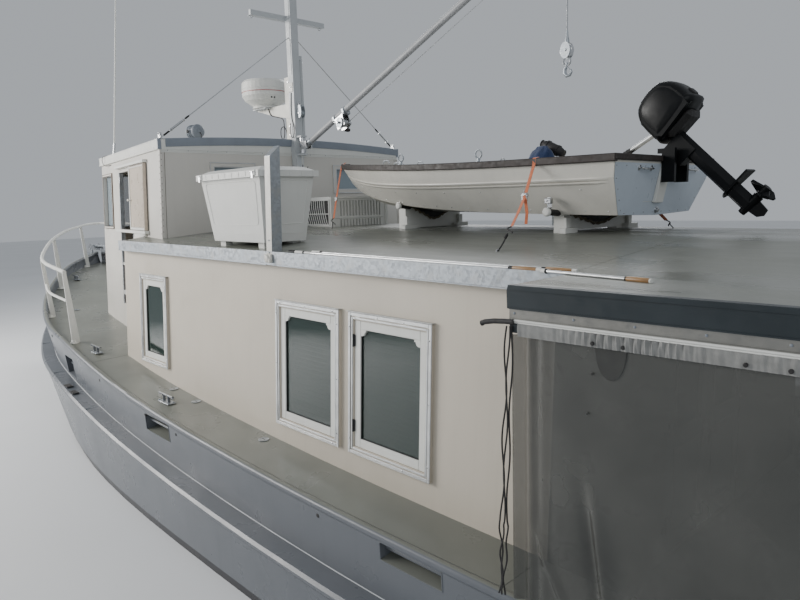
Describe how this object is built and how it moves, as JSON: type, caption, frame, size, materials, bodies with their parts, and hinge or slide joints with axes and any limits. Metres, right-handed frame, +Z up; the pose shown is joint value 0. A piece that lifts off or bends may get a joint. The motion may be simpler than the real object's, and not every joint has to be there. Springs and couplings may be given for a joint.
{
  "type": "trawler yacht",
  "caption": "Steel motor trawler yacht afloat: hard-chine hull, saloon and boat deck, forward pilothouse, mast with derrick boom, curtained cockpit and a tender on chocks.",
  "frame": {"origin": "on the centreline amidships, at the waterline", "axes": "+X to the bow, +Y to port, +Z up"},
  "size_m": [16.44, 5.4244, 8.1],
  "materials": {
    "hull_paint": "semi-gloss silver-grey paint",
    "bottom_paint": "matt bottom paint",
    "deck_paint": "semi-gloss olive-grey deck paint",
    "house_paint": "satin warm beige paint",
    "white_paint": "satin off-white paint",
    "tender_paint": "satin cream paint on aluminium",
    "header_paint": "dark blue-grey paint",
    "mast_paint": "light grey satin paint",
    "galvanised": "dull galvanised",
    "stainless": "weathered stainless",
    "bronze": "dull bronze",
    "engine": "painted cast iron",
    "glass": "dark tinted glass",
    "vinyl": "smoked clear vinyl sheet",
    "white_plastic": "off-white moulded plastic",
    "black_plastic": "glossy black",
    "wood": "oiled hardwood"
  },
  "bodies": {
    "yacht": {"hull": "hull_paint", "engine_block": "engine", "saloon_sole": "wood", "boat_deck": "deck_paint", "saloon_side_port": "house_paint", "saloon_side_stbd": "house_paint", "saloon_glass_port": "glass", "saloon_glass_stbd": "glass", "saloon_bulkhead_aft": "house_paint", "saloon_bulkhead_fwd": "house_paint", "deck_fascia_port": "galvanised", "deck_fascia_stbd": "galvanised", "cockpit_header": "header_paint", "curtain_port": "vinyl", "curtain_stbd": "vinyl", "curtain_aft": "vinyl", "roof_post_port": "galvanised", "roof_post_stbd": "galvanised", "pilothouse_side_port": "house_paint", "pilothouse_side_stbd": "house_paint", "pilothouse_glass_port": "glass", "pilothouse_glass_stbd": "glass", "pilothouse_front": "house_paint", "pilothouse_glass_front": "glass", "pilothouse_aft": "house_paint", "pilothouse_glass_aft": "glass", "pilothouse_sole": "wood", "pilothouse_roof": "white_paint", "helm_console": "wood", "mast": "mast_paint", "radome": "white_plastic", "stay_port": "stainless", "stay_stbd": "stainless", "searchlight": "galvanised", "deck_box": "white_plastic", "vent_unit": "white_plastic", "tender": "tender_paint", "chock_aft": "white_paint", "chock_fwd": "white_paint", "outboard": "black_plastic", "bow_rail_port": "white_paint", "bow_rail_stbd": "white_paint", "windlass": "galvanised", "bow_roller": "stainless", "anchor": "galvanised", "swim_platform": "wood"},
    "propeller": {"propeller": "bronze"},
    "rudder": {"rudder": "bottom_paint"},
    "helm_wheel": {"helm_wheel": "stainless"},
    "aft_door_port": {"aft_door_port": "white_paint"},
    "aft_door_stbd": {"aft_door_stbd": "white_paint"},
    "pilothouse_door_port": {"pilothouse_door_port": "house_paint"},
    "pilothouse_door_stbd": {"pilothouse_door_stbd": "house_paint"},
    "boom_swivel": {"boom_swivel": "stainless"},
    "boom": {"boom": "mast_paint", "boom_winch": "stainless"},
    "hoist_hook": {"hoist_hook": "stainless"},
    "deck_box_lid": {"deck_box_lid": "white_plastic"},
    "fore_hatch": {"fore_hatch": "white_paint"},
    "outboard_propeller": {"outboard_propeller": "black_plastic"}
  },
  "joints": [
    {"name": "propeller_spin", "type": "hinge", "parent": "yacht", "child": "propeller", "pos_m": [-6.38, 0, -0.88], "axis": [1, 0, 0], "continuous": true},
    {"name": "rudder_turn", "type": "hinge", "parent": "yacht", "child": "rudder", "pos_m": [-6.96, 0, -0.9], "axis": [0, 0, 1], "range_deg": [-35, 35]},
    {"name": "helm_turn", "type": "hinge", "parent": "yacht", "child": "helm_wheel", "pos_m": [2.715, 0, 2.33], "axis": [1, 0, 0], "range_deg": [-540, 540]},
    {"name": "aft_door_port_swing", "type": "hinge", "parent": "yacht", "child": "aft_door_port", "pos_m": [-4.964, 0.654, 1.31], "axis": [0, 0, 1], "range_deg": [-100, 0]},
    {"name": "aft_door_stbd_swing", "type": "hinge", "parent": "yacht", "child": "aft_door_stbd", "pos_m": [-4.964, -0.654, 1.31], "axis": [0, 0, 1], "range_deg": [0, 100]},
    {"name": "pilothouse_door_port_slide", "type": "slide", "parent": "yacht", "child": "pilothouse_door_port", "axis": [0.9889, -0.1485, 0], "range_m": [0, 0.749]},
    {"name": "pilothouse_door_stbd_slide", "type": "slide", "parent": "yacht", "child": "pilothouse_door_stbd", "axis": [0.9889, 0.1485, 0], "range_m": [0, 0.749]},
    {"name": "boom_swing", "type": "hinge", "parent": "yacht", "child": "boom_swivel", "pos_m": [0.11, 0, 3.64], "axis": [0, 0, 1], "range_deg": [-60, 60]},
    {"name": "boom_luff", "type": "hinge", "parent": "boom_swivel", "child": "boom", "pos_m": [0.01, 0, 3.64], "axis": [0, 1, 0], "range_deg": [-10, 35]},
    {"name": "hook_hang", "type": "hinge", "parent": "boom", "child": "hoist_hook", "pos_m": [-3.70587, 0, 5.1228], "axis": [0, 1, 0], "range_deg": [-35, 10]},
    {"name": "deck_box_lid_lift", "type": "hinge", "parent": "yacht", "child": "deck_box_lid", "pos_m": [-1.652, 1.461, 3.142], "axis": [1, 0, 0], "range_deg": [0, 95]},
    {"name": "fore_hatch_lift", "type": "hinge", "parent": "yacht", "child": "fore_hatch", "pos_m": [5.06, 0, 1.5937], "axis": [0, 1, 0], "range_deg": [0, 95]},
    {"name": "outboard_propeller_spin", "type": "hinge", "parent": "yacht", "child": "outboard_propeller", "pos_m": [-5.26232, 0, 2.90528], "axis": [0.6947, 0, -0.7193], "continuous": true}
  ],
  "couplings": [
    {"joint": "helm_turn", "follows": "rudder_turn", "ratio": 15.42},
    {"joint": "hook_hang", "follows": "boom_luff", "ratio": -1}
  ]
}
